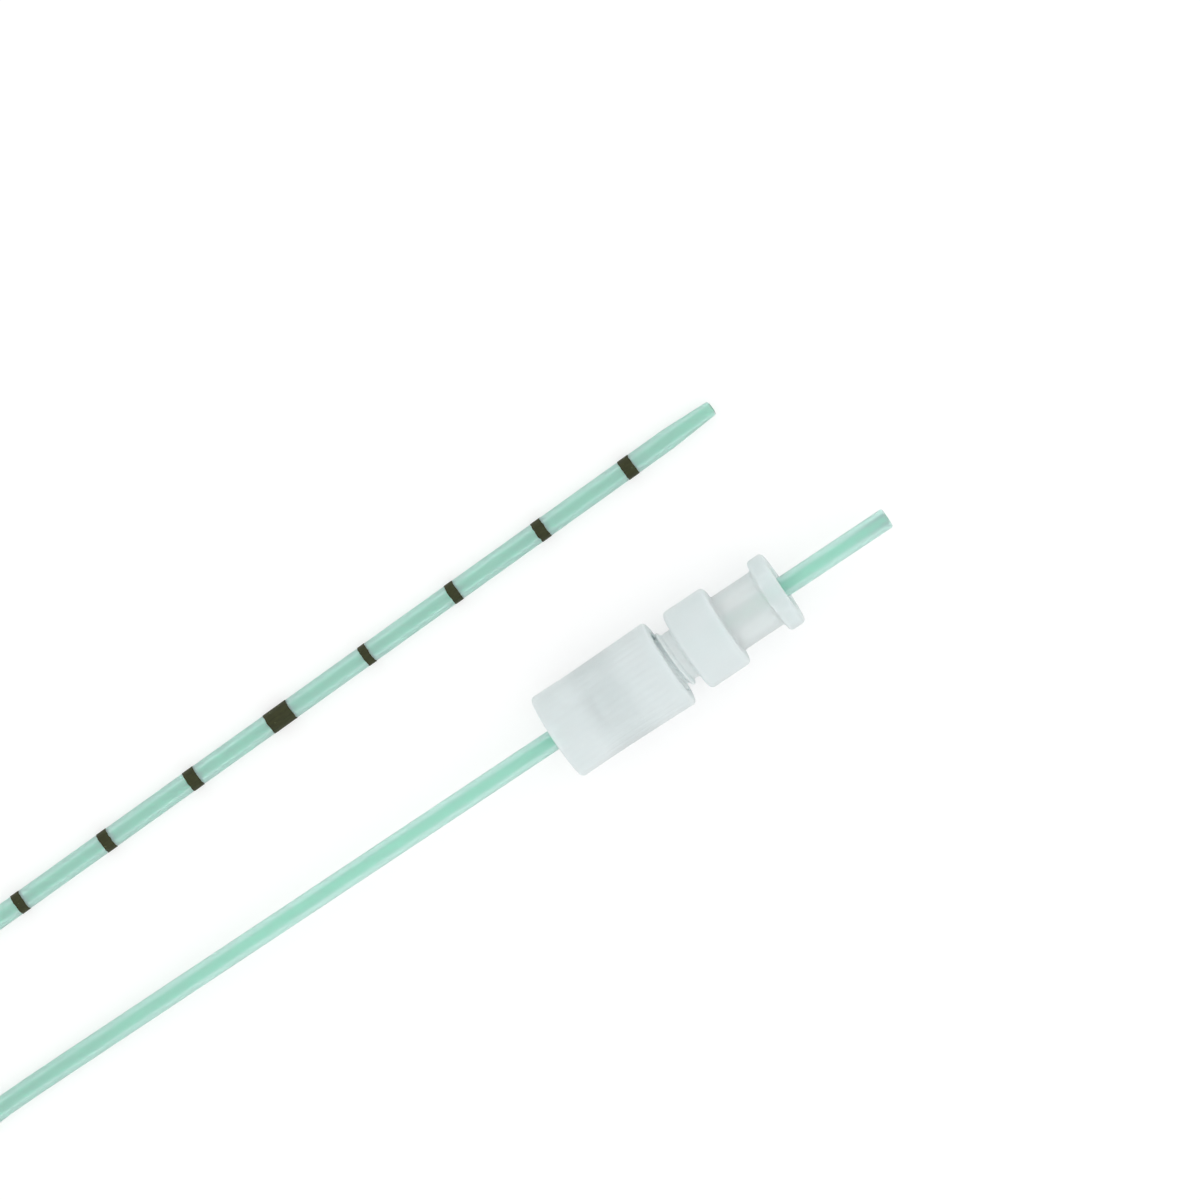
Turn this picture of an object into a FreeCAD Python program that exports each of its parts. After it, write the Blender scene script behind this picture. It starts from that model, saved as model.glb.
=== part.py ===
import FreeCAD, Part
import math
import os

import Sketcher

# A ureteral catheter: a thin hollow tube with ink marks at its tapered tip, and a two-part screw
# connector with a female luer lock near its other end. Millimetres. The origin is on the table, under the
# middle of the connector. +X runs along the connector towards the luer lock, and +Z is up.

SIZES = {
    # the tube
    "tube_d": 2.0,
    "lumen_d": 1.05,
    "stub_len": 11.55,
    "tip_d": 1.45,
    "taper_len": 5.0,
    "tip_round": 0.2,
    # the ink marks, a centimetre apart, each a little narrower than the one before, and each fifth one wide
    "ink_t": 0.04,
    "mark_step": 10.0,
    "mark_w": 1.2,
    "mark_narrowing": 0.13,
    "wide_mark_w": 2.6,
    # the screw cap
    "cap_len": 12.7,
    "cap_back_d": 8.75,
    "cap_mouth_d": 8.93,
    "cap_round": 0.38,
    "cap_end_wall": 1.15,
    "cap_bore_gap": 0.2,
    "seal_recess_depth": 0.95,
    "mouth_chamfer": 0.3,
    "groove_count": 36,
    "groove_depth": 0.11,
    "groove_r": 0.3,
    "plain_rim": 1.0,
    # the thread between the cap and the neck
    "thread_d": 5.9,
    "thread_depth": 0.42,
    "thread_pitch": 0.8,
    "tooth_crest": 0.14,
    "flank_slope": 0.57,
    "tooth_root_bite": 0.05,
    "thread_gap": 0.12,
    "thread_start": 0.9,
    "neck_run_out": 0.65,
    "cap_run_in": 0.85,
    # the connector's body
    "open_gap": 1.8,
    "seal_to_neck": 0.25,
    "body_bore_gap": 0.15,
    "pocket_gap": 0.15,
    "pocket_depth": 1.7,
    "seat_len": 0.5,
    "neck_fillet": 0.35,
    "collar_d": 8.35,
    "collar_len": 4.5,
    "collar_round": 0.45,
    "barrel_d": 5.8,
    "barrel_len": 4.6,
    "barrel_fillet": 0.35,
    "luer_lip_d": 7.6,
    "luer_lip_len": 1.7,
    "luer_lip_round": 0.4,
    "luer_flats": 6.6,
    "luer_mouth_d": 4.3,
    "luer_taper": 0.06,
    "luer_depth": 7.6,
    # the seal
    "seal_len": 3.5,
    "seal_d": 3.7,
    "seal_chamfer": 0.3,
    "seal_gap": 0.05,
    "seal_bore_gap": 0.06,
    # the put-away coil: its sides, and its layers of turns
    "coil_outer_r": 15.8,
    "coil_inner_r": 7.1,
    "turn_step": 2.05,
    "coil_layers": 2,
    "coil_round": 0.9,
}

# Points of the tube's free route, chosen by hand: x, y. The heights come from the sizes.
SINK_START = (-36.0, 0.0)
SINK_END = (-62.0, 0.0)
NEAR_TURN = (-83.0, 0.0)
COIL_ENTRY = (-95.4, -5.76)
COIL_CENTRE = (-101.2, 6.7)
COIL_EXIT = (-94.97, 20.07)
FAR_TURN = (-82.6, 14.31)
TIP_END = (16.4, 17.48)
MARKS_ON_THE_STRAIGHT = 8
MARKS_IN_A_GROUP = 5
# an arc takes this share of the shorter run beside it, and a fillet at most this share of its wall
ARC_SHARE = 0.45
FILLET_SHARE = 0.45
# how near two sizes are when they are the same
SAME = 1e-4

doc = FreeCAD.newDocument("ureteral_catheter")
sheet = doc.addObject("Spreadsheet::Sheet", "sizes")
for row, (alias, value) in enumerate(SIZES.items(), start=1):
    sheet.set(f"A{row}", alias)
    sheet.set(f"B{row}", str(value))
    sheet.setAlias(f"B{row}", alias)
doc.recompute()

Vector = FreeCAD.Vector

# Places and sizes that several pieces share, written as formulas on the sheet's cells.
CAP_BACK_X = ("(-(sizes.cap_len + sizes.open_gap + sizes.collar_len + sizes.barrel_len"
              " + sizes.luer_lip_len) / 2)")
AXIS_Z = "(max(sizes.cap_mouth_d; sizes.cap_back_d) / 2)"
NECK_END_FROM_CAP = ("(sizes.cap_end_wall + sizes.seal_gap + sizes.seal_len"
                     " + sizes.seal_to_neck)")
NECK_LEN = f"(sizes.cap_len + sizes.open_gap - {NECK_END_FROM_CAP})"
NECK_ROOT_R = "(sizes.thread_d / 2 - sizes.thread_depth)"
CAP_WALL_R = "(sizes.thread_d / 2 + sizes.thread_gap)"
CAP_CREST_R = "(sizes.thread_d / 2 + sizes.thread_gap - sizes.thread_depth)"
RECESS_R = "(sizes.seal_d / 2 + sizes.seal_gap)"
POCKET_R = "(sizes.seal_d / 2 + sizes.pocket_gap)"
CAP_BORE_R = "(sizes.tube_d / 2 + sizes.cap_bore_gap)"
BODY_BORE_R = "(sizes.tube_d / 2 + sizes.body_bore_gap)"
SEAL_BORE_R = "(sizes.tube_d / 2 + sizes.seal_bore_gap)"
TOOTH_BASE = "(sizes.tooth_crest + 2 * sizes.flank_slope * sizes.thread_depth)"
CAP_THREAD_X = f"({NECK_END_FROM_CAP} + sizes.thread_start + sizes.thread_pitch / 2)"
COLLAR_FAR_X = f"({NECK_LEN} + sizes.collar_len)"
BARREL_FAR_X = f"({COLLAR_FAR_X} + sizes.barrel_len)"
MOUTH_X = f"({BARREL_FAR_X} + sizes.luer_lip_len)"


def worth(formula):
    """The number that a formula on the sheet's cells comes to."""
    return float(sheet.evalExpression(formula))


def size(alias):
    return float(sheet.get(alias))


# How each turned or moulded piece is drawn.

def new_body(label, place_x):
    """A body whose own X axis is the connector's axis, placed along it."""
    body = doc.addObject("PartDesign::Body", label)
    body.Label = label
    body.setExpression("Placement.Base.x", place_x)
    body.setExpression("Placement.Base.z", AXIS_Z)
    return body


def origin_feature(body, role):
    return next(feature for feature in body.Origin.OriginFeatures if feature.Role == role)


def new_sketch(body, name, role):
    sketch = body.newObject("Sketcher::SketchObject", name)
    sketch.AttachmentSupport = [(origin_feature(body, role), "")]
    sketch.MapMode = "FlatFace"
    return sketch


def draw_outline(sketch, corners):
    """A closed outline of straight lines, each corner held by two formulas."""
    points = [Vector(worth(x), worth(y), 0) for x, y in corners]
    count = len(points)
    for index in range(count):
        sketch.addGeometry(Part.LineSegment(points[index], points[(index + 1) % count]))
    for index in range(count):
        sketch.addConstraint(Sketcher.Constraint("Coincident", index, 2, (index + 1) % count, 1))
    for index, (x, y) in enumerate(corners):
        across = sketch.addConstraint(
            Sketcher.Constraint("DistanceX", -1, 1, index, 1, points[index].x))
        sketch.setExpression(f"Constraints[{across}]", x)
        upward = sketch.addConstraint(
            Sketcher.Constraint("DistanceY", -1, 1, index, 1, points[index].y))
        sketch.setExpression(f"Constraints[{upward}]", y)


def turn_outline(body, name, corners):
    """The solid that an outline in the XY plane makes when it is turned about X."""
    sketch = new_sketch(body, name + "_outline", "XY_Plane")
    draw_outline(sketch, corners)
    turned = body.newObject("PartDesign::Revolution", name)
    turned.Profile = sketch
    turned.ReferenceAxis = (origin_feature(body, "X_Axis"), [""])
    turned.Angle = 360
    doc.recompute()
    return turned


def ring_edges(shape, spots):
    """The names of the round edges about X that lie at the given places: x, radius."""
    names = []
    for number, edge in enumerate(shape.Edges, start=1):
        if not isinstance(edge.Curve, Part.Circle):
            continue
        for x, radius in spots:
            same_place = abs(edge.Curve.Center.x - worth(x)) < SAME
            if same_place and abs(edge.Curve.Radius - worth(radius)) < SAME:
                names.append(f"Edge{number}")
    return names


def dress_rings(body, kind, name, spots, amount):
    """A fillet or chamfer on the round edges at the given places."""
    before = body.Tip
    dressed = body.newObject(kind, name)
    dressed.Base = (before, ring_edges(before.Shape, spots))
    dressed.setExpression("Radius" if kind.endswith("Fillet") else "Size", amount)
    doc.recompute()
    return dressed


def add_thread(body, name, start_x, root_r, crest_r, length):
    """A right-hand ridge wound about X, drawn at its first turn and seated a little in its wall."""
    sketch = new_sketch(body, name + "_tooth", "XY_Plane")
    inward = worth(crest_r) < worth(root_r)
    seat_r = f"{root_r} {'+' if inward else '-'} sizes.tooth_root_bite"
    draw_outline(sketch, [
        (f"{start_x} - {TOOTH_BASE} / 2", seat_r),
        (f"{start_x} + {TOOTH_BASE} / 2", seat_r),
        (f"{start_x} + sizes.tooth_crest / 2", crest_r),
        (f"{start_x} - sizes.tooth_crest / 2", crest_r),
    ])
    doc.recompute()
    ridge = body.newObject("PartDesign::AdditiveHelix", name)
    ridge.Profile = sketch
    ridge.ReferenceAxis = (origin_feature(body, "X_Axis"), [""])
    ridge.Mode = "pitch-height-angle"
    ridge.setExpression("Pitch", "sizes.thread_pitch")
    ridge.setExpression("Height", length)
    doc.recompute()
    return ridge


# The screw cap: one moulding, with its closed end at x = 0.
cap = new_body("screw_cap", CAP_BACK_X)
turn_outline(cap, "cap_shell", [
    ("0", CAP_BORE_R),
    ("sizes.cap_end_wall", CAP_BORE_R),
    ("sizes.cap_end_wall", RECESS_R),
    ("sizes.cap_end_wall + sizes.seal_recess_depth", RECESS_R),
    ("sizes.cap_end_wall + sizes.seal_recess_depth", CAP_WALL_R),
    ("sizes.cap_len", CAP_WALL_R),
    ("sizes.cap_len", "sizes.cap_mouth_d / 2"),
    ("0", "sizes.cap_back_d / 2"),
])
dress_rings(cap, "PartDesign::Chamfer", "mouth_lead_in", [("sizes.cap_len", CAP_WALL_R)],
            "sizes.mouth_chamfer")
dress_rings(cap, "PartDesign::Fillet", "cap_edges",
            [("0", "sizes.cap_back_d / 2"), ("sizes.cap_len", "sizes.cap_mouth_d / 2")],
            "sizes.cap_round")

# Its grip is a ring of shallow round grooves, which stop short of the mouth.
groove_sketch = new_sketch(cap, "groove_section", "YZ_Plane")
groove_centre = "sizes.cap_back_d / 2 + sizes.groove_r - sizes.groove_depth"
groove_sketch.addGeometry(Part.Circle(Vector(worth(groove_centre), 0, 0), Vector(0, 0, 1),
                                      size("groove_r")))
groove_sketch.addConstraint(Sketcher.Constraint("PointOnObject", 0, 3, -1))
groove_out = groove_sketch.addConstraint(
    Sketcher.Constraint("DistanceX", -1, 1, 0, 3, worth(groove_centre)))
groove_sketch.setExpression(f"Constraints[{groove_out}]", groove_centre)
groove_round = groove_sketch.addConstraint(Sketcher.Constraint("Radius", 0, size("groove_r")))
groove_sketch.setExpression(f"Constraints[{groove_round}]", "sizes.groove_r")
shell_volume = cap.Tip.Shape.Volume
groove = cap.newObject("PartDesign::Pocket", "groove")
groove.Profile = groove_sketch
groove.Reversed = True
groove.setExpression("Length", "sizes.cap_len - sizes.plain_rim")
doc.recompute()
grooves = cap.newObject("PartDesign::PolarPattern", "grooves")
grooves.Originals = [groove]
grooves.Axis = (origin_feature(cap, "X_Axis"), [""])
grooves.Angle = 360
grooves.setExpression("Occurrences", "sizes.groove_count")
cap.Tip = grooves
doc.recompute()
print("the grooves take", round(shell_volume - cap.Tip.Shape.Volume, 2), "mm3 from the cap")

# Its thread lies half a pitch from the neck's, so that the two mesh at rest.
add_thread(cap, "cap_thread", CAP_THREAD_X, CAP_WALL_R, CAP_CREST_R,
           f"sizes.cap_len - {CAP_THREAD_X} - sizes.cap_run_in")

# The connector's body: one moulding, with its neck's end at x = 0 and its luer mouth at the far end.
connector = new_body("connector_body", f"{CAP_BACK_X} + {NECK_END_FROM_CAP}")
LUER_FLOOR_X = f"({MOUTH_X} - sizes.luer_depth)"
LUER_FLOOR_R = "((sizes.luer_mouth_d - sizes.luer_taper * sizes.luer_depth) / 2)"
turn_outline(connector, "body_shell", [
    ("0", POCKET_R),
    ("sizes.pocket_depth", POCKET_R),
    ("sizes.pocket_depth + sizes.seat_len", BODY_BORE_R),
    (LUER_FLOOR_X, BODY_BORE_R),
    (LUER_FLOOR_X, LUER_FLOOR_R),
    (MOUTH_X, "sizes.luer_mouth_d / 2"),
    (MOUTH_X, "sizes.luer_lip_d / 2"),
    (BARREL_FAR_X, "sizes.luer_lip_d / 2"),
    (BARREL_FAR_X, "sizes.barrel_d / 2"),
    (COLLAR_FAR_X, "sizes.barrel_d / 2"),
    (COLLAR_FAR_X, "sizes.collar_d / 2"),
    (NECK_LEN, "sizes.collar_d / 2"),
    (NECK_LEN, NECK_ROOT_R),
    ("0", NECK_ROOT_R),
])
dress_rings(connector, "PartDesign::Fillet", "collar_edges",
            [(NECK_LEN, "sizes.collar_d / 2"), (COLLAR_FAR_X, "sizes.collar_d / 2")],
            "sizes.collar_round")
dress_rings(connector, "PartDesign::Fillet", "neck_root", [(NECK_LEN, NECK_ROOT_R)],
            "sizes.neck_fillet")
dress_rings(connector, "PartDesign::Fillet", "barrel_roots",
            [(BARREL_FAR_X, "sizes.barrel_d / 2"), (COLLAR_FAR_X, "sizes.barrel_d / 2")],
            "sizes.barrel_fillet")
dress_rings(connector, "PartDesign::Fillet", "luer_lip_edges",
            [(BARREL_FAR_X, "sizes.luer_lip_d / 2"), (MOUTH_X, "sizes.luer_lip_d / 2")],
            "sizes.luer_lip_round")

# Two flats leave the lip as a pair of lugs, which a male luer lock's thread takes hold of.
flat_sketch = new_sketch(connector, "lug_flat_outline", "XY_Plane")
flat_sketch.setExpression("AttachmentOffset.Base.z", "sizes.luer_flats / 2")
FLAT_NEAR_X = f"({BARREL_FAR_X} - sizes.barrel_fillet)"
FLAT_FAR_X = f"({MOUTH_X} + sizes.luer_lip_round)"
draw_outline(flat_sketch, [
    (FLAT_NEAR_X, "-sizes.luer_lip_d"),
    (FLAT_FAR_X, "-sizes.luer_lip_d"),
    (FLAT_FAR_X, "sizes.luer_lip_d"),
    (FLAT_NEAR_X, "sizes.luer_lip_d"),
])
whole_lip_volume = connector.Tip.Shape.Volume
upper_flat = connector.newObject("PartDesign::Pocket", "upper_flat")
upper_flat.Profile = flat_sketch
upper_flat.Reversed = True
upper_flat.setExpression("Length", "sizes.luer_lip_d / 2")
doc.recompute()
both_flats = connector.newObject("PartDesign::Mirrored", "both_flats")
both_flats.Originals = [upper_flat]
both_flats.MirrorPlane = (origin_feature(connector, "XY_Plane"), [""])
connector.Tip = both_flats
doc.recompute()
print("the flats take", round(whole_lip_volume - connector.Tip.Shape.Volume, 2), "mm3 from the lip")
add_thread(connector, "neck_thread", "sizes.thread_start", NECK_ROOT_R, "sizes.thread_d / 2",
           f"{NECK_LEN} - sizes.thread_start - sizes.neck_run_out")

# The seal: a soft sleeve that sits in the cap's end and grips the tube when the cap is tightened.
seal = new_body("seal", f"{CAP_BACK_X} + sizes.cap_end_wall + sizes.seal_gap")
turn_outline(seal, "sleeve", [
    ("0", SEAL_BORE_R),
    ("sizes.seal_len", SEAL_BORE_R),
    ("sizes.seal_len", "sizes.seal_d / 2"),
    ("0", "sizes.seal_d / 2"),
])
dress_rings(seal, "PartDesign::Chamfer", "seal_nose", [("sizes.seal_len", "sizes.seal_d / 2")],
            "sizes.seal_chamfer")


# The tube. Its free stretches are straight runs joined by arcs, each as large as its runs allow.

def rounded_path(label, points):
    """The path through the points, with an arc at each inner one. It prints each arc's radius."""
    edges = []
    start = points[0]
    for before, corner, after in zip(points, points[1:], points[2:]):
        back = (before - corner).normalize()
        onward = (after - corner).normalize()
        turn = math.pi - back.getAngle(onward)
        reach = ARC_SHARE * min((before - corner).Length, (after - corner).Length)
        radius = reach / math.tan(turn / 2)
        to_centre = (back + onward).normalize() * (radius / math.cos(turn / 2))
        middle = corner + to_centre - (back + onward).normalize() * radius
        edges.append(Part.LineSegment(start, corner + back * reach).toShape())
        edges.append(Part.Arc(corner + back * reach, middle, corner + onward * reach).toShape())
        start = corner + onward * reach
        print(label, "turns", round(math.degrees(turn), 1), "degrees at radius", round(radius, 1))
    edges.append(Part.LineSegment(start, points[-1]).toShape())
    return Part.Wire(edges)


def rod_along(path, diameter):
    """A round rod along a path, with its volume compared with its section times its length."""
    first = path.Edges[0]
    heading = first.tangentAt(first.FirstParameter)
    section = Part.Wire([Part.makeCircle(diameter / 2, path.OrderedVertexes[0].Point, heading)])
    rod = path.makePipeShell([section], True, False)
    expected = math.pi / 4 * diameter ** 2 * path.Length
    print("rod of", diameter, "mm: volume over section times length is",
          round(rod.Volume / expected, 4))
    return rod


def add_shape(label, shape):
    feature = doc.addObject("Part::Feature", label)
    feature.Label = label
    feature.Shape = shape
    feature.Placement = FreeCAD.Placement()
    return feature


tube_d = size("tube_d")
lumen_d = size("lumen_d")
floor_z = tube_d / 2 + size("ink_t")
axis_z = worth(AXIS_Z)
luer_mouth_x = -worth(CAP_BACK_X)
stub_end = Vector(luer_mouth_x + size("stub_len"), 0, axis_z)

proximal_points = [
    stub_end,
    Vector(*SINK_START, axis_z),
    Vector(*SINK_END, floor_z),
    Vector(*NEAR_TURN, floor_z),
    Vector(*COIL_ENTRY, floor_z),
]
proximal_path = rounded_path("proximal stretch", proximal_points)
proximal_tube = rod_along(proximal_path, tube_d).cut(rod_along(proximal_path, lumen_d))
add_shape("shaft_proximal", proximal_tube)

# The distal stretch ends in a drawn-down open tip.
tip_end = Vector(*TIP_END, floor_z)
far_turn = Vector(*FAR_TURN, floor_z)
heading = (tip_end - far_turn).normalize()
taper_start = tip_end - heading * size("taper_len")
distal_path = rounded_path("distal stretch", [Vector(*COIL_EXIT, floor_z), far_turn, taper_start])
taper = Part.makeCone(tube_d / 2, size("tip_d") / 2, size("taper_len"), taper_start, heading)
tip_rim = [edge for edge in taper.Edges
           if isinstance(edge.Curve, Part.Circle) and (edge.Curve.Center - tip_end).Length < SAME]
tip_wall = (size("tip_d") - lumen_d) / 2
taper = taper.makeFillet(min(size("tip_round"), tip_wall * FILLET_SHARE * 2), tip_rim)
tip_lumen = Part.makeCylinder(lumen_d / 2, size("taper_len"), taper_start, heading)
distal_tube = rod_along(distal_path, tube_d).cut(rod_along(distal_path, lumen_d))
add_shape("shaft_distal", distal_tube.fuse(taper.cut(tip_lumen)).removeSplitter())


def mark_width(number):
    """Each fifth mark is the wide one, and the four between get narrower one by one."""
    place_in_group = (number - 1) % MARKS_IN_A_GROUP
    if place_in_group == MARKS_IN_A_GROUP - 1:
        return size("wide_mark_w")
    return size("mark_w") - size("mark_narrowing") * place_in_group


marks = []
for number in range(1, MARKS_ON_THE_STRAIGHT + 1):
    width = mark_width(number)
    near_face = tip_end - heading * (size("mark_step") * number + width / 2)
    ink = Part.makeCylinder(tube_d / 2 + size("ink_t"), width, near_face, heading)
    marks.append(ink.cut(Part.makeCylinder(tube_d / 2, width, near_face, heading)))
add_shape("depth_marks", Part.makeCompound(marks))

# The put-away coil, as one closed ring that its turns fill.
coil_high = tube_d + size("turn_step") * (size("coil_layers") - 1) + size("ink_t")
coil_base = Vector(*COIL_CENTRE, 0)
ring = Part.makeCylinder(size("coil_outer_r"), coil_high, coil_base)
ring = ring.cut(Part.makeCylinder(size("coil_inner_r"), coil_high, coil_base))
rims = [edge for edge in ring.Edges if isinstance(edge.Curve, Part.Circle)]
ring = ring.makeFillet(min(size("coil_round"), coil_high * FILLET_SHARE), rims)
add_shape("shaft_coil", ring)

# Everything is checked before anything is written.
doc.recompute()
for item in doc.Objects:
    assert not {"Invalid", "Error"} & set(item.State), f"{item.Label} is {item.State}"
labels = ("shaft_proximal", "shaft_coil", "shaft_distal", "depth_marks", "connector_body", "screw_cap",
          "seal")
pieces = [doc.getObjectsByLabel(label)[0] for label in labels]
for piece in pieces:
    assert not piece.Shape.isNull(), f"{piece.Label} has no shape"
    assert piece.Shape.isValid(), f"{piece.Label} is not valid"

os.makedirs("parts", exist_ok=True)
for piece in pieces:
    piece.Shape.exportStep(f"parts/{piece.Label}.step")
    print(piece.Label, "solids", len(piece.Shape.Solids), "volume", round(piece.Shape.Volume, 2))
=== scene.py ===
import math

import bmesh
import bpy
from mathutils import Matrix, Vector, noise


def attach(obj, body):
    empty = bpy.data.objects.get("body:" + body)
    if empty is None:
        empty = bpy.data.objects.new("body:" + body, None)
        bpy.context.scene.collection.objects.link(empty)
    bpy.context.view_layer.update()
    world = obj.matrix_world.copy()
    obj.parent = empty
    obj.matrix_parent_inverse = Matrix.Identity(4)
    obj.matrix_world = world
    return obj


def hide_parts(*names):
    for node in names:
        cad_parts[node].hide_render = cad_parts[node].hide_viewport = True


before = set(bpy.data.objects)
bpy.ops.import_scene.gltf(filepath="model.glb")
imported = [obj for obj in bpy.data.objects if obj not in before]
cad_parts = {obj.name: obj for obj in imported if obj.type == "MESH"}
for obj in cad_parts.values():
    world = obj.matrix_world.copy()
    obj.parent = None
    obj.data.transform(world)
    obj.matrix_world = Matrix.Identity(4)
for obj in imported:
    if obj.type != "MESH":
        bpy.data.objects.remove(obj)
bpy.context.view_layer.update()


# The white table, the light and the camera

# The catheter lies flat on a white table under broad soft light, and is seen from almost straight above.
# The camera leans a little towards the luer end and is turned, so that the connector points up to the right.

class Shade:
    """One output of a material's nodes. Sums and products written on it become Math nodes."""

    def __init__(self, tree, output):
        self.tree, self.output = tree, output

    def math(self, operation, *values):
        return Nodes(self.tree).add("ShaderNodeMath", {"operation": operation}, dict(enumerate(values)))

    def __add__(self, other):
        return self.math("ADD", self, other)

    def __radd__(self, other):
        return self.math("ADD", other, self)

    def __mul__(self, other):
        return self.math("MULTIPLY", self, other)

    def __rmul__(self, other):
        return self.math("MULTIPLY", other, self)


class Nodes:
    """Adds nodes to one material or world."""

    def __init__(self, tree):
        self.tree = tree

    def add(self, kind, settings=None, sockets=None, output=0):
        """A new node with its settings made first, then its sockets, named or numbered. Gives one output."""
        node = self.tree.nodes.new(kind)
        for name, value in (settings or {}).items():
            if name == "stops":
                ramp = node.color_ramp.elements
                while len(ramp) < len(value):
                    ramp.new(0.5)
                for stop, (position, colour) in zip(ramp, value):
                    stop.position, stop.color = position, colour
            else:
                setattr(node, name, value)
        by_name = {socket.identifier: socket for socket in node.inputs}
        for name, value in (sockets or {}).items():
            socket = node.inputs[name] if isinstance(name, int) else by_name[name]
            if isinstance(value, Shade):
                self.tree.links.new(value.output, socket)
            else:
                socket.default_value = value
        if not node.outputs:
            return None
        return Shade(self.tree, node.outputs[output])


def new_material(name):
    """An empty material of that name, and what adds nodes to it."""
    material = bpy.data.materials.new(name)
    material.use_nodes = True
    material.node_tree.nodes.clear()
    return material, Nodes(material.node_tree)


def make_object(name, skin):
    """An object of that name whose mesh is the finished bmesh, which is freed."""
    mesh = bpy.data.meshes.new(name)
    skin.to_mesh(mesh)
    skin.free()
    made = bpy.data.objects.new(name, mesh)
    bpy.context.scene.collection.objects.link(made)
    return made


camera_height, camera_lens = 0.8, 259.4
camera_lean, camera_turn = math.radians(4.5), math.radians(33.7)
looked_at = Vector((-0.00217, 0.00839, 0.004465))
back = Vector((math.sin(camera_lean), 0, math.cos(camera_lean)))
along = Vector((math.cos(camera_lean), 0, -math.sin(camera_lean)))
across = back.cross(along)
right = along * math.cos(camera_turn) - across * math.sin(camera_turn)
up = along * math.sin(camera_turn) + across * math.cos(camera_turn)
camera = bpy.data.objects.new("camera", bpy.data.cameras.new("camera"))
camera.matrix_world = (Matrix.Translation(looked_at + back * camera_height)
                       @ Matrix((right, up, back)).transposed().to_4x4())
camera.data.lens = camera_lens
camera.data.clip_start, camera.data.clip_end = 0.01, 20
bpy.context.scene.collection.objects.link(camera)
bpy.context.scene.camera = camera
bpy.context.scene.view_settings.view_transform = "Standard"

sky_level, wall_level = 0.98, 1.0
world = bpy.data.worlds.new("studio")
bpy.context.scene.world = world
world.use_nodes = True
world.node_tree.nodes.clear()
studio = Nodes(world.node_tree)
seen = studio.add("ShaderNodeLightPath", output=0)
mirrored = studio.add("ShaderNodeLightPath", output=3)
let_through = studio.add("ShaderNodeLightPath", output=6)
soft_dome = studio.add("ShaderNodeBackground", None, {"Color": (1, 1, 1, 1), "Strength": sky_level})
white_wall = studio.add("ShaderNodeBackground", None, {"Color": (1, 1, 1, 1), "Strength": wall_level})
shown = seen.math("MAXIMUM", seen.math("MAXIMUM", seen, mirrored), let_through)
studio.add("ShaderNodeOutputWorld", None, {
    "Surface": studio.add("ShaderNodeMixShader", None, {0: shown, 1: soft_dome, 2: white_wall})})

lamp_side, lamp_watts = 1.2, 1.8
lamp_right, lamp_down, lamp_back = 0.55, 0.45, 1.25
lamp = bpy.data.objects.new("soft_box", bpy.data.lights.new("soft_box", "AREA"))
lamp.data.shape, lamp.data.size, lamp.data.size_y = "RECTANGLE", lamp_side, lamp_side
lamp.data.energy = lamp_watts
lamp_place = looked_at + right * lamp_right - up * lamp_down + back * lamp_back
lamp.location = lamp_place
lamp.rotation_mode = "QUATERNION"
lamp.rotation_quaternion = (looked_at - lamp_place).to_track_quat("-Z", "Y")
bpy.context.scene.collection.objects.link(lamp)

table_side, below_the_part = 3.0, 0.00002
table_top = bmesh.new()
bmesh.ops.create_grid(table_top, x_segments=1, y_segments=1, size=table_side / 2,
                      matrix=Matrix.Translation((0, 0, -below_the_part)))
table = make_object("white_table", table_top)
table_paint, paper = new_material("white_table")
plain_paper = paper.add("ShaderNodeBsdfDiffuse", None, {"Color": (0.95, 0.95, 0.95, 1)})
# what the camera sees of the paper glows, so that it is white but keeps the catheter's shadow
paper_shadow = paper.add("ShaderNodeBsdfDiffuse", None, {"Color": (0.5, 0.5, 0.5, 1)})
paper_glow = paper.add("ShaderNodeEmission", None, {"Color": (1, 1, 1, 1), "Strength": 0.54})
bright_paper = paper.add("ShaderNodeAddShader", None, {0: paper_shadow, 1: paper_glow})
paper.add("ShaderNodeOutputMaterial", None, {
    "Surface": paper.add("ShaderNodeMixShader", None, {
        0: paper.add("ShaderNodeLightPath", output=0), 1: plain_paper, 2: bright_paper})})
table.data.materials.append(table_paint)


# The catheter's tube

# One extruded tube of soft polyurethane, 2 mm across with a 1.05 mm lumen, tinted pale green and left
# see-through. Its tip is drawn down and rounded over a mandrel, and its other end is cut and softened.

axis_height, table_height = 0.004465, 0.00104
tube_r, lumen_r, tip_r = 0.001, 0.000525, 0.000725
taper_length, tube_length = 0.005, 0.7
sides_round = 24

coil_centre = Vector((-0.1012, 0.0067))
first_turn_r, last_turn_r, turn_step = 0.01375, 0.01475, 0.00205
coil_turns, points_a_turn = 6 + 230 / 360, 12
first_angle = math.radians(-65)
second_layer = 0.0031
climb_from, climb_to = 2.75, 3.1
drop_from, drop_turns = 6.1, 0.45
# a curve through turning points 30 degrees apart runs this share of their distance from the middle
inside_share = 0.9662


def coil_point(turns):
    """A point of the coil after so many turns: inwards on the table, up, and outwards on top."""
    inner_r = first_turn_r - turn_step * climb_from
    if turns < climb_from:
        r, z = first_turn_r - turn_step * turns, table_height
    elif turns < climb_to:
        r = inner_r
        z = table_height + (second_layer - table_height) * (turns - climb_from) / (climb_to - climb_from)
    else:
        r, z = min(inner_r + turn_step * (turns - climb_to), last_turn_r), second_layer
    if turns > drop_from:
        z = second_layer + (table_height - second_layer) * min(1, (turns - drop_from) / drop_turns)
    angle = first_angle - turns * 2 * math.pi
    return (coil_centre.x + r / inside_share * math.cos(angle),
            coil_centre.y + r / inside_share * math.sin(angle), z)


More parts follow.
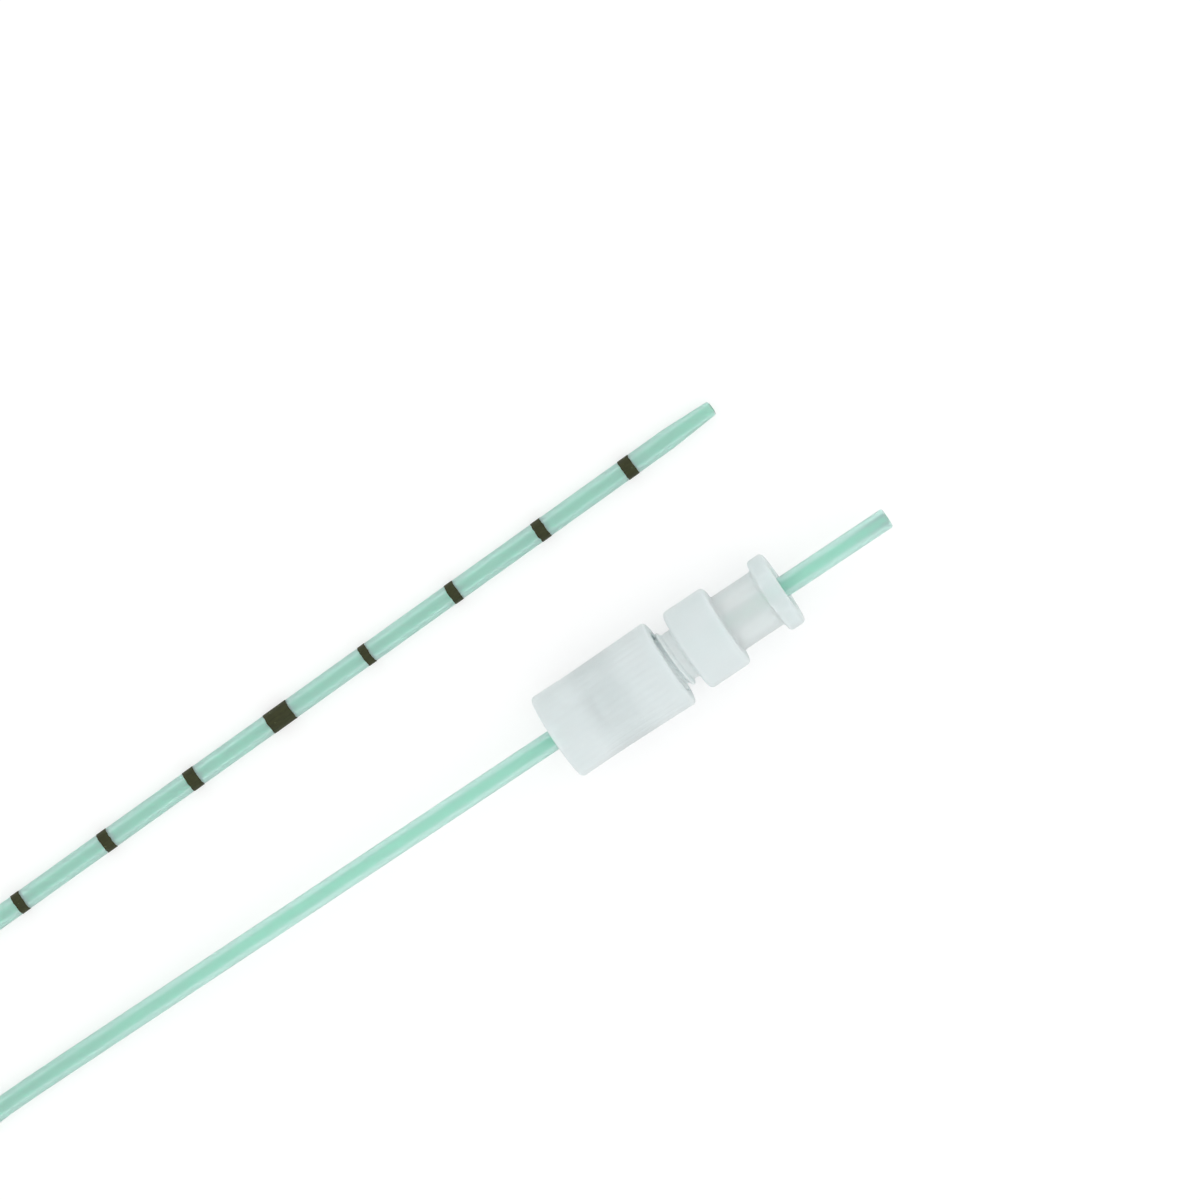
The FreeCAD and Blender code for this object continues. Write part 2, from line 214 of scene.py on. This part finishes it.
route = [
    (0.0242, 0, axis_height),
    (-0.010, 0, axis_height),
    (-0.036, 0, axis_height),
    (-0.062, 0, table_height),
    (-0.083, 0, table_height),
]
coil_steps = round(coil_turns * points_a_turn)
for step in range(coil_steps + 1):
    route.append(coil_point(coil_turns * step / coil_steps))
route += [
    (-0.0826, 0.01431, table_height),
    (-0.069, 0.01475, table_height),
    (0.0164, 0.01748, table_height),
]
route_curve = bpy.data.curves.new("route", "CURVE")
route_curve.dimensions = "3D"
spline = route_curve.splines.new("NURBS")
spline.points.add(len(route) - 1)
for knot, place in zip(spline.points, route):
    knot.co = (*place, 1)
spline.order_u = 3
spline.use_endpoint_u = True
spline.resolution_u = 6
route_object = bpy.data.objects.new("route", route_curve)
bpy.context.scene.collection.objects.link(route_object)
route_line = bpy.data.meshes.new_from_object(route_object)
centres = [vertex.co.copy() for vertex in route_line.vertices]
bpy.data.objects.remove(route_object)

distances = [0.0]
for before, after in zip(centres, centres[1:]):
    distances.append(distances[-1] + (after - before).length)

# the tube's section is carried along the line without twisting
headings = [(centres[min(k + 1, len(centres) - 1)] - centres[max(k - 1, 0)]).normalized()
            for k in range(len(centres))]
sides = [Vector((0, 0, 1))]
for before, after in zip(headings, headings[1:]):
    sides.append(before.rotation_difference(after) @ sides[-1])


def section_at(distance):
    """The place and turn of the tube's section at a distance along the line, as a matrix."""
    last = len(centres) - 2
    k = next((k for k in range(last) if distances[k + 1] >= distance), last)
    share = (distance - distances[k]) / (distances[k + 1] - distances[k])
    centre = centres[k].lerp(centres[k + 1], share)
    heading = headings[k].lerp(headings[k + 1], share).normalized()
    side = sides[k].lerp(sides[k + 1], share)
    side = (side - heading * side.dot(heading)).normalized()
    turned = Matrix((side, heading.cross(side), heading)).transposed().to_4x4()
    return Matrix.Translation(centre) @ turned


def drawn_tube(stations, segments):
    """A skin extruded ring by ring through stations (distance, radius) and joined to its first ring, with
    each point's place on the straightened tube kept as an attribute."""
    skin = bmesh.new()
    straight = skin.verts.layers.float_vector.new("straight")
    ring = bmesh.ops.create_circle(skin, cap_ends=False, segments=segments, radius=1.0)["verts"]
    first_edges = list(skin.edges)
    edges = first_edges
    was = Matrix.Identity(4)
    for number, (distance, radius) in enumerate(stations):
        now = section_at(distance) @ Matrix.Diagonal((radius, radius, 1, 1))
        if number:
            grown = bmesh.ops.extrude_edge_only(skin, edges=edges)["geom"]
            ring = [part for part in grown if isinstance(part, bmesh.types.BMVert)]
            edges = [part for part in grown if isinstance(part, bmesh.types.BMEdge)]
        bmesh.ops.transform(skin, matrix=now @ was.inverted(), verts=ring)
        was = now
        unturned = section_at(distance).inverted()
        for vertex in ring:
            local = unturned @ vertex.co
            vertex[straight] = (local.x, local.y, distance)
    bmesh.ops.bridge_loops(skin, edges=edges + first_edges)
    bmesh.ops.recalc_face_normals(skin, faces=skin.faces)
    return skin


trimmed_off = 0.00024
cut_round, tip_round, lumen_edge = 0.00022, 0.0002, 0.00003
clear_of_ends = 0.0004
shoulder_length, shoulder_drop = 0.0003, 0.000004
total = distances[-1] - trimmed_off
taper_start = total - taper_length
quarter = [math.radians(degrees) for degrees in (0, 22.5, 45, 67.5, 90)]
outer = [(cut_round - cut_round * math.cos(swing), tube_r - cut_round + cut_round * math.sin(swing))
         for swing in quarter]
outer += [(distance, tube_r) for distance in distances
          if clear_of_ends < distance < taper_start - clear_of_ends]
outer += [(taper_start - shoulder_length, tube_r), (taper_start, tube_r - shoulder_drop)]
outer += [(taper_start + taper_length * share, tube_r + (tip_r - tube_r) * share)
          for share in (0.1, 0.3, 0.5, 0.7, 0.85)]
outer += [(total - tip_round + tip_round * math.sin(swing),
           tip_r - tip_round + tip_round * math.cos(swing)) for swing in quarter]
inner = [(total - lumen_edge, lumen_r)]
inner += [(distance, lumen_r) for distance in reversed(distances)
          if clear_of_ends < distance < total - clear_of_ends]
inner += [(lumen_edge, lumen_r)]

tube_skin = drawn_tube(outer + inner, sides_round)
straight = tube_skin.verts.layers.float_vector["straight"]
lumen_reach = lumen_r * 1.02
for face in tube_skin.faces:
    face.smooth = True
    if all(Vector(vertex[straight][:2]).length < lumen_reach for vertex in face.verts):
        face.material_index = 1
catheter_tube = make_object("catheter_tube", tube_skin)

green_plastic, nodes = new_material("green_tube")
straightened = nodes.add("ShaderNodeAttribute", {"attribute_name": "straight"}, output=1)
drawn_out = nodes.add("ShaderNodeMapping", None, {"Vector": straightened, "Scale": (1, 1, 0.02)})
die_lines = nodes.add("ShaderNodeTexNoise", None, {"Vector": drawn_out, "Scale": 9000, "Detail": 2})
clouds = nodes.add("ShaderNodeTexNoise", None, {"Vector": straightened, "Scale": 700, "Detail": 3})
specks = nodes.add("ShaderNodeTexNoise", None, {"Vector": straightened, "Scale": 14000, "Detail": 1})
tint = nodes.add("ShaderNodeMix", {"data_type": "RGBA"}, {
    "Factor_Float": 0.5 * clouds + 0.5 * specks,
    "A_Color": (0.66, 0.97, 0.86, 1), "B_Color": (0.74, 1.0, 0.92, 1)}, output=2)
nodes.add("ShaderNodeOutputMaterial", None, {"Surface": nodes.add("ShaderNodeBsdfPrincipled", None, {
    "Base Color": tint,
    "Roughness": 0.27 + 0.12 * die_lines,
    "IOR": 1.2,
    "Transmission Weight": 0.57,
    "Subsurface Weight": 1.0,
    "Subsurface Radius": (1, 1, 1),
    "Subsurface Scale": 0.0003,
    "Normal": nodes.add("ShaderNodeBump", None, {
        "Strength": 0.15, "Distance": 0.00002, "Height": die_lines}),
})})
catheter_tube.data.materials.append(green_plastic)

# the lumen wall is the same plastic as the outside but is tinted a much deeper, darker green: painted shade,
# which darkens the strip seen down the tube's middle, where one looks through into the lumen
painted_shade_lumen, nodes = new_material("lumen_wall_painted_shade")
straightened = nodes.add("ShaderNodeAttribute", {"attribute_name": "straight"}, output=1)
drawn_out = nodes.add("ShaderNodeMapping", None, {"Vector": straightened, "Scale": (1, 1, 0.02)})
die_lines = nodes.add("ShaderNodeTexNoise", None, {"Vector": drawn_out, "Scale": 9000, "Detail": 2})
tint = nodes.add("ShaderNodeMix", {"data_type": "RGBA"}, {
    "Factor_Float": die_lines,
    "A_Color": (0.12, 0.72, 0.45, 1), "B_Color": (0.20, 0.80, 0.54, 1)}, output=2)
nodes.add("ShaderNodeOutputMaterial", None, {"Surface": nodes.add("ShaderNodeBsdfPrincipled", None, {
    "Base Color": tint,
    "Roughness": 0.24 + 0.1 * die_lines,
    "IOR": 1.3,
    "Transmission Weight": 0.95,
    "Normal": nodes.add("ShaderNodeBump", None, {
        "Strength": 0.1, "Distance": 0.00001, "Height": die_lines}),
})})
catheter_tube.data.materials.append(painted_shade_lumen)

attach(catheter_tube, "catheter")
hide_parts("shaft_proximal", "shaft_coil", "shaft_distal")


# The depth marks

# Bands of dark olive ink printed round the tube a centimetre apart, from the tip to 25 cm. Each of four is
# a little narrower than the one before, and each fifth is wide. The ink stands a hair above the plastic.

ink_height, ink_foot, ink_flank, ink_toe = 0.00003, 0.00002, 0.00004, 0.00001
mark_step, first_mark_at = 0.010, 0.00955
first_mark_width, mark_narrowing, wide_mark_width = 0.0012, 0.00013, 0.0026
marks_printed, marks_in_a_group = 25, 5
raggedness, ragged_scale, one_mark_to_the_next = 0.00007, 2600, 7.3
inked_r = tube_r + ink_height
all_marks = bmesh.new()
for number in range(1, marks_printed + 1):
    place_in_group = (number - 1) % marks_in_a_group
    wide = place_in_group == marks_in_a_group - 1
    width = wide_mark_width if wide else first_mark_width - mark_narrowing * place_in_group
    stretches = 3 if wide else 2
    start = total - first_mark_at - mark_step * (number - 1) - width / 2
    end = start + width
    stations = [(start, tube_r - ink_foot), (start + ink_toe, tube_r + ink_toe),
                (start + ink_flank, inked_r)]
    stations += [(start + ink_flank + (width - 2 * ink_flank) * k / stretches, inked_r)
                 for k in range(1, stretches)]
    stations += [(end - ink_flank, inked_r), (end - ink_toe, tube_r + ink_toe), (end, tube_r - ink_foot)]
    band = drawn_tube(stations, sides_round * 2)
    # the ink's two edges are a little ragged
    straight = band.verts.layers.float_vector["straight"]
    heading = section_at(start + width / 2).to_3x3().col[2]
    for vertex in band.verts:
        flat = vertex[straight]
        edge = round((flat.z - start) / width)
        spot = Vector((flat.x * ragged_scale, flat.y * ragged_scale, number * one_mark_to_the_next + edge))
        vertex.co += heading * noise.noise(spot) * raggedness
    one_mark = bpy.data.meshes.new("mark")
    band.to_mesh(one_mark)
    band.free()
    all_marks.from_mesh(one_mark)
    bpy.data.meshes.remove(one_mark)
for face in all_marks.faces:
    face.smooth = True
printed_marks = make_object("printed_marks", all_marks)

olive_ink, nodes = new_material("olive_ink")
straightened = nodes.add("ShaderNodeAttribute", {"attribute_name": "straight"}, output=1)
wiped = nodes.add("ShaderNodeMapping", None, {"Vector": straightened, "Scale": (1, 1, 0.3)})
streaks = nodes.add("ShaderNodeTexNoise", None, {"Vector": wiped, "Scale": 5200, "Detail": 3})
cover = nodes.add("ShaderNodeTexNoise", None, {"Vector": straightened, "Scale": 2500, "Detail": 4})
thin_spots = nodes.add("ShaderNodeValToRGB", {
    "stops": [(0.66, (0, 0, 0, 1)), (0.78, (1, 1, 1, 1))]}, {0: cover})
ink_tone = nodes.add("ShaderNodeMix", {"data_type": "RGBA"}, {
    "Factor_Float": streaks,
    "A_Color": (0.014, 0.016, 0.003, 1), "B_Color": (0.044, 0.050, 0.012, 1)}, output=2)
ink_colour = nodes.add("ShaderNodeMix", {"data_type": "RGBA"}, {
    "Factor_Float": thin_spots, "A_Color": ink_tone, "B_Color": (0.10, 0.12, 0.05, 1)}, output=2)
nodes.add("ShaderNodeOutputMaterial", None, {"Surface": nodes.add("ShaderNodeBsdfPrincipled", None, {
    "Base Color": ink_colour,
    "Roughness": 0.5 + 0.2 * cover,
    "Specular IOR Level": 0.3,
    "Normal": nodes.add("ShaderNodeBump", None, {"Strength": 0.3, "Distance": 0.00001, "Height": cover}),
})})
printed_marks.data.materials.append(olive_ink)
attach(printed_marks, "catheter")
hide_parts("depth_marks")


# The luer body

# One moulding of milky, see-through polypropylene: a threaded neck, a plain collar, and a female luer
# socket whose lip has two flats, so that it takes a male luer lock. The tube passes right through it.

body_x = -0.0077
neck_root_r, thread_r, thread_pitch = 0.00253, 0.00295, 0.0008
crest_width, flank_width = 0.00014, 0.00024
neck_thread_start, neck_thread_end, neck_rings = body_x + 0.0009, body_x + 0.0089, 130
pocket_r, pocket_end, bore_start, bore_r = 0.0020, body_x + 0.0017, body_x + 0.0022, 0.00115
collar_x, collar_r = body_x + 0.00955, 0.004175
barrel_x, barrel_r = body_x + 0.01405, 0.0029
socket_floor_x, socket_floor_r, socket_mouth_r = body_x + 0.01275, 0.001922, 0.00215
lip_x, lip_r, lip_half_flats = body_x + 0.01865, 0.0038, 0.0033
luer_mouth_x, flats_start = body_x + 0.02035, lip_x - 0.00035
polish_start, polish_end = collar_x + 0.00095, lip_x - 0.00005
luer_steps = 96
same_place, shortest_wall = 1e-6, 0.001
inward_share = 0.3
crease = math.radians(38)


def turned_piece(outline, steps):
    """The skin that a closed outline of (x, radius, rounding) makes when it is turned about the connector's
    axis."""
    skin = bmesh.new()
    corners = [skin.verts.new((x, 0, axis_height + r)) for x, r, rounding in outline]
    for k, corner in enumerate(corners):
        skin.edges.new((corner, corners[(k + 1) % len(corners)]))
    for x, r, rounding in outline:
        if rounding:
            spot = Vector((x, 0, axis_height + r))
            corner = min(skin.verts, key=lambda vertex: (vertex.co - spot).length)
            bmesh.ops.bevel(skin, geom=[corner], offset=rounding, offset_type="OFFSET", affect="VERTICES",
                            segments=4, profile=0.5, material=-1)
    bmesh.ops.spin(skin, geom=skin.verts[:] + skin.edges[:], cent=(0, 0, axis_height), axis=(1, 0, 0),
                   angle=2 * math.pi, steps=steps, use_merge=True)
    bmesh.ops.remove_doubles(skin, verts=skin.verts, dist=1e-8)
    bmesh.ops.recalc_face_normals(skin, faces=skin.faces)
    return skin


def add_rings(skin, wall_r, rings):
    """Divides the straight wall of that radius into rings, close enough together for a thread or grooves."""
    lines = [edge for edge in skin.edges
             if all(abs(math.hypot(v.co.y, v.co.z - axis_height) - wall_r) < same_place for v in edge.verts)
             and abs(edge.verts[0].co.x - edge.verts[1].co.x) > shortest_wall]
    bmesh.ops.subdivide_edges(skin, edges=lines, cuts=rings, use_grid_fill=True)


def wind_thread(skin, start, end, wall_r, crest_r):
    """Raises a right-hand thread on the turned wall of that radius, fading in and out at its ends."""
    fade_length = thread_pitch / 5
    for vertex in skin.verts:
        x, y, z = vertex.co.x, vertex.co.y, vertex.co.z - axis_height
        if abs(math.hypot(y, z) - wall_r) > same_place or not start - thread_pitch < x < end + thread_pitch:
            continue
        angle = math.atan2(z, y) % (2 * math.pi)
        beside = x - start - thread_pitch * angle / (2 * math.pi)
        turn = round(beside / thread_pitch)
        way = (angle / (2 * math.pi) + turn) * thread_pitch
        fade = min(1, max(0, way / fade_length), max(0, (end - start - way) / fade_length))
        beside = abs(beside - turn * thread_pitch)
        height = min(1, max(0, (crest_width / 2 + flank_width - beside) / flank_width))
        height = fade * height * height * (3 - 2 * height)
        grown = 1 + height * (crest_r - wall_r) / wall_r
        vertex.co.y, vertex.co.z = y * grown, axis_height + z * grown


def see_into(skin, wall_at, polished_from, polished_to):
    """Smooths a moulding's faces, keeps how clear its wall looks and how much painted light it takes at each
    point as attributes, and gives its inner walls between two places along the axis the second material."""
    clearness = skin.verts.layers.float.new("clearness")
    paleness = skin.verts.layers.float.new("paleness")
    for vertex in skin.verts:
        r = math.hypot(vertex.co.y, vertex.co.z - axis_height)
        vertex[clearness], vertex[paleness] = wall_at(vertex.co.x, r)
    for face in skin.faces:
        face.smooth = True
        middle = face.calc_center_median() - Vector((0, 0, axis_height))
        if polished_from < middle.x < polished_to:
            middle.x = 0
            if face.normal.dot(middle) < -inward_share * middle.length:
                face.material_index = 1


def luer_wall(x, r):
    """How clear the luer body's wall looks and how much painted light it takes: the neck is cloudy and takes
    the paler colour, painted light that lifts the shade in the groove between the cap's mouth and the
    collar; the barrel is the clearest part and takes the painted light too; and the lip is clearer than the
    collar."""
    beside, over_neck, over_barrel, before_lip = 0.00005, 0.0006, 0.0003, 0.00045
    # the neck and the barrel take the paler milk as painted light
    if x < collar_x + beside and r < neck_root_r + over_neck:
        return 0.0, 1.0
    if barrel_x - beside < x < lip_x + beside and r < barrel_r + over_barrel:
        return 0.40, 1.0
    return (0.28, 0.0) if x > lip_x - before_lip else (0.14, 0.0)


luer_skin = turned_piece([
    (body_x, pocket_r, 0),
    (pocket_end, pocket_r, 0),
    (bore_start, bore_r, 0),
    (socket_floor_x, bore_r, 0),
    (socket_floor_x, socket_floor_r, 0.0001),
    (luer_mouth_x, socket_mouth_r, 0.00035),
    (luer_mouth_x, lip_r, 0.0004),
    (lip_x, lip_r, 0.0004),
    (lip_x, barrel_r, 0.00035),
    (barrel_x, barrel_r, 0.00035),
    (barrel_x, collar_r, 0.00045),
    (collar_x, collar_r, 0.00045),
    (collar_x, neck_root_r, 0.00035),
    (body_x, neck_root_r, 0.0001),
], luer_steps)
add_rings(luer_skin, neck_root_r, neck_rings)
wind_thread(luer_skin, neck_thread_start, neck_thread_end, neck_root_r, thread_r)
for vertex in luer_skin.verts:
    if vertex.co.x > flats_start:
        z = vertex.co.z - axis_height
        vertex.co.z = axis_height + max(-lip_half_flats, min(lip_half_flats, z))
see_into(luer_skin, luer_wall, polish_start, polish_end)
luer_body = make_object("luer_body", luer_skin)
luer_body.data.set_sharp_from_angle(angle=crease)

milky_plastic, nodes = new_material("milky_plastic")
place = nodes.add("ShaderNodeTexCoord", output=3)
flow = nodes.add("ShaderNodeTexNoise", None, {
    "Vector": nodes.add("ShaderNodeMapping", None, {"Vector": place, "Scale": (0.35, 1, 1)}),
    "Scale": 420, "Detail": 3})
tool_lines = nodes.add("ShaderNodeTexNoise", None, {
    "Vector": nodes.add("ShaderNodeMapping", None, {"Vector": place, "Scale": (0.03, 1, 1)}),
    "Scale": 6000, "Detail": 2})
grain = nodes.add("ShaderNodeTexNoise", None, {"Vector": place, "Scale": 9000, "Detail": 2})
milk = nodes.add("ShaderNodeMix", {"data_type": "RGBA"}, {
    "Factor_Float": 0.6 * flow + 0.4 * tool_lines,
    "A_Color": (0.80, 0.880, 0.884, 1), "B_Color": (0.86, 0.922, 0.927, 1)}, output=2)
# a paler milk, which is painted light where the neck and the barrel take it in place of the wall's own milk;
# it is also the clear shader's tint
clear_and_painted_light_milk = nodes.add("ShaderNodeMix", {"data_type": "RGBA"}, {
    "Factor_Float": flow, "A_Color": (0.86, 1, 0.99, 1), "B_Color": (0.91, 1, 1, 1)}, output=2)
wall_milk = nodes.add("ShaderNodeMix", {"data_type": "RGBA"}, {
    "Factor_Float": nodes.add("ShaderNodeAttribute", {"attribute_name": "paleness"}, output=2),
    "A_Color": milk, "B_Color": clear_and_painted_light_milk}, output=2)
any_wall = {
    "Roughness": 0.26 + 0.1 * flow,
    "Subsurface Weight": 1.0,
    "Subsurface Radius": (1, 1, 1),
    "Subsurface Scale": 0.0004,
    "Normal": nodes.add("ShaderNodeBump", None, {
        "Strength": 0.12, "Distance": 0.00002, "Height": grain + tool_lines}),
}
cloudy = nodes.add("ShaderNodeBsdfPrincipled", None, {
    **any_wall, "Base Color": wall_milk, "IOR": 1.3, "Transmission Weight": 0.12})
clear = nodes.add("ShaderNodeBsdfPrincipled", None, {
    **any_wall, "Base Color": clear_and_painted_light_milk, "IOR": 1.12, "Transmission Weight": 0.8})
nodes.add("ShaderNodeOutputMaterial", None, {"Surface": nodes.add("ShaderNodeMixShader", None, {
    0: nodes.add("ShaderNodeAttribute", {"attribute_name": "clearness"}, output=2), 1: cloudy, 2: clear})})
luer_body.data.materials.append(milky_plastic)

polished_inside, nodes = new_material("polished_inside")
place = nodes.add("ShaderNodeTexCoord", output=3)
flow = nodes.add("ShaderNodeTexNoise", None, {"Vector": place, "Scale": 500, "Detail": 3})
milk = nodes.add("ShaderNodeMix", {"data_type": "RGBA"}, {
    "Factor_Float": flow, "A_Color": (0.97, 0.99, 0.99, 1), "B_Color": (1, 1, 1, 1)}, output=2)
nodes.add("ShaderNodeOutputMaterial", None, {"Surface": nodes.add("ShaderNodeBsdfPrincipled", None, {
    "Base Color": milk,
    "Roughness": 0.08 + 0.08 * flow,
    "IOR": 1.3,
    "Transmission Weight": 1.0,
    "Normal": nodes.add("ShaderNodeBump", None, {
        "Strength": 0.05, "Distance": 0.00001, "Height": flow}),
})})
luer_body.data.materials.append(polished_inside)
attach(luer_body, "connector")
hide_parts("connector_body")


# The screw cap

# A thick-walled cap of the same milky plastic, screwed on the neck to squeeze the seal onto the tube. Its
# outside has a slight waist and a ring of shallow grip grooves that stop short of the mouth.

cap_x, cap_length = -0.01265, 0.0127
cap_mouth_x = cap_x + cap_length
cap_bore_r, recess_r, recess_start, recess_end = 0.0012, 0.0019, cap_x + 0.00115, cap_x + 0.0021
cap_wall_r, cap_crest_r, mouth_chamfer = 0.00307, 0.00265, 0.0001
cap_thread_start, cap_thread_end, cap_rings = -0.0064, -0.0008, 110
back_r, waist_r, mouth_r, outside_rings = 0.004375, 0.00433, 0.004465, 23
waist_at, mouth_flare = 0.26, 1.4
groove_count, groove_depth_back, groove_depth_front = 36, 0.00002, 0.00005
plain_rim, outside_depth, steps_a_groove = 0.001, 0.0004, 8
polished_length = 0.012
clearest_x, clear_reach = -0.0064, 0.0028


def cap_wall(x, r):
    """How clear the cap's wall looks: clearest a little way in from the neck's mouth. None of it takes the
    painted light.
    """
    return 0.13 + 0.2 * max(0, 1 - ((x - clearest_x) / clear_reach) ** 2), 0.0


cap_skin = turned_piece([
    (cap_x, cap_bore_r, 0.0001),
    (recess_start, cap_bore_r, 0),
    (recess_start, recess_r, 0),
    (recess_end, recess_r, 0),
    (recess_end, cap_wall_r, 0.0001),
    (cap_mouth_x - mouth_chamfer, cap_wall_r, 0),
    (cap_mouth_x, cap_wall_r + mouth_chamfer, 0),
    (cap_mouth_x, mouth_r, 0.00038),
    (cap_x, mouth_r, 0.00038),
], groove_count * steps_a_groove)
add_rings(cap_skin, cap_wall_r, cap_rings)
add_rings(cap_skin, mouth_r, outside_rings)
wind_thread(cap_skin, cap_thread_start, cap_thread_end, cap_wall_r, cap_crest_r)
for vertex in cap_skin.verts:
    y, z = vertex.co.y, vertex.co.z - axis_height
    r = math.hypot(y, z)
    if r < mouth_r - outside_depth:
        continue
    way = (vertex.co.x - cap_x) / cap_length
    full = (back_r + (waist_r - back_r) * way / waist_at if way < waist_at
            else waist_r + (mouth_r - waist_r) * ((way - waist_at) / (1 - waist_at)) ** mouth_flare)
    new_r = r - mouth_r + full
    if r > mouth_r - same_place and vertex.co.x < cap_mouth_x - plain_rim:
        depth = groove_depth_back + (groove_depth_front - groove_depth_back) * way
        new_r -= depth * max(0, math.cos(math.atan2(z, y) * groove_count)) ** 2
    vertex.co.y, vertex.co.z = y * new_r / r, axis_height + z * new_r / r
see_into(cap_skin, cap_wall, cap_x, cap_x + polished_length)
grip_cap = make_object("grip_cap", cap_skin)
grip_cap.data.set_sharp_from_angle(angle=crease)
grip_cap.data.materials.append(milky_plastic)
grip_cap.data.materials.append(polished_inside)
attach(grip_cap, "cap")
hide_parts("screw_cap")


# The seal

# A short sleeve of soft clear silicone rubber round the tube. Its back sits loose in the recess of the
# cap's end. Screwing the cap on pushes its nose into the neck's mouth, where it closes on the tube.

seal_x, seal_length, nose_length = -0.01145, 0.0035, 0.0003
seal_bore_r, seal_nose_r, seal_r = 0.00106, 0.00155, 0.00185
seal_steps = 64
seal_skin = turned_piece([
    (seal_x, seal_bore_r, 0.00012),
    (seal_x + seal_length, seal_bore_r, 0.00012),
    (seal_x + seal_length, seal_nose_r, 0.0001),
    (seal_x + seal_length - nose_length, seal_r, 0.0001),
    (seal_x, seal_r, 0.0002),
], seal_steps)
for face in seal_skin.faces:
    face.smooth = True
tube_seal = make_object("tube_seal", seal_skin)
silicone, nodes = new_material("silicone_rubber")
place = nodes.add("ShaderNodeTexCoord", output=3)
dust = nodes.add("ShaderNodeTexNoise", None, {"Vector": place, "Scale": 2600, "Detail": 4})
rubber = nodes.add("ShaderNodeMix", {"data_type": "RGBA"}, {
    "Factor_Float": dust, "A_Color": (0.80, 0.88, 0.89, 1), "B_Color": (0.88, 0.94, 0.95, 1)}, output=2)
nodes.add("ShaderNodeOutputMaterial", None, {"Surface": nodes.add("ShaderNodeBsdfPrincipled", None, {
    "Base Color": rubber,
    "Roughness": 0.45 + 0.2 * dust,
    "IOR": 1.3,
    "Transmission Weight": 0.5,
    "Subsurface Weight": 1.0,
    "Subsurface Radius": (1, 1, 1),
    "Subsurface Scale": 0.0015,
    "Normal": nodes.add("ShaderNodeBump", None, {"Strength": 0.2, "Distance": 0.00002, "Height": dust}),
})})
tube_seal.data.materials.append(silicone)
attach(tube_seal, "seal")
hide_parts("seal")
